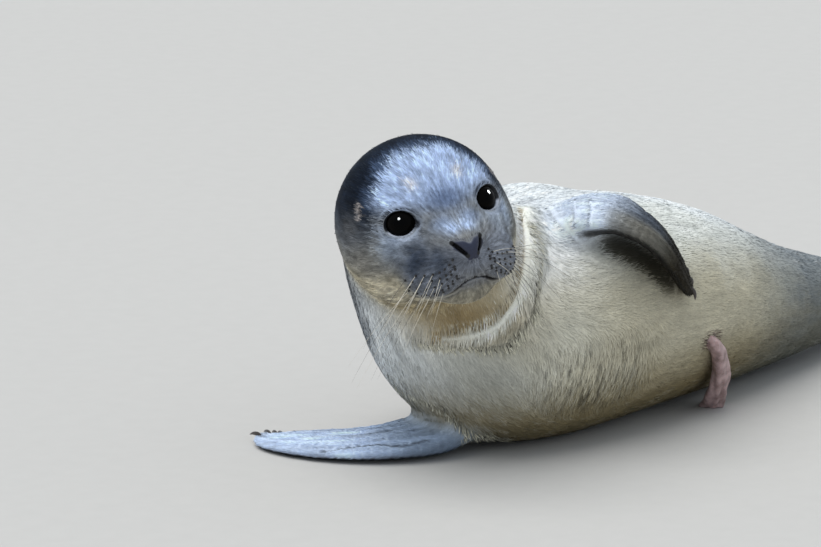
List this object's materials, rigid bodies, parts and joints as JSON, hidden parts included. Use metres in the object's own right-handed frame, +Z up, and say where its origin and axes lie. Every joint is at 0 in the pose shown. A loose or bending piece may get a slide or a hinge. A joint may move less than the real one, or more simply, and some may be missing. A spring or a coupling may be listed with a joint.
{
  "type": "harbor seal pup model",
  "caption": "Life-size still model of a newborn harbor seal lying on its right side, head raised and turned, one foreflipper out on the floor.",
  "frame": {"origin": "centre of the bounding box at floor level", "axes": "+X towards the tail, head at -X, belly towards -Y, +Z up from the floor"},
  "size_m": [0.767, 0.2686, 0.2549],
  "materials": {
    "coat_dark": "short flat fur, slate grey",
    "coat_pale": "short flat fur, silver to cream",
    "flipper": "very short fur, slate blue",
    "eye": "wet, glossy, near black",
    "claw": "dark horn",
    "navel": "dried skin, mauve pink"
  },
  "bodies": {
    "root": {"head": "coat_dark", "muzzle": "coat_dark", "neck": "coat_pale", "chest": "coat_pale", "belly": "coat_pale", "rump": "coat_dark", "tail": "coat_dark", "foreflipper_left": "flipper", "foreflipper_right": "flipper", "hindflipper_left": "flipper", "hindflipper_right": "flipper", "eye_left": "eye", "eye_right": "eye", "navel_stump": "navel", "claw_fore_left_1": "claw", "claw_fore_left_2": "claw", "claw_fore_left_3": "claw", "claw_fore_left_4": "claw", "claw_fore_left_5": "claw", "claw_fore_right_1": "claw", "claw_fore_right_2": "claw", "claw_fore_right_3": "claw", "claw_fore_right_4": "claw", "claw_fore_right_5": "claw", "claw_hind_left_1": "claw", "claw_hind_left_2": "claw", "claw_hind_left_3": "claw", "claw_hind_left_4": "claw", "claw_hind_left_5": "claw", "claw_hind_right_1": "claw", "claw_hind_right_2": "claw", "claw_hind_right_3": "claw", "claw_hind_right_4": "claw", "claw_hind_right_5": "claw"}
  },
  "joints": []
}
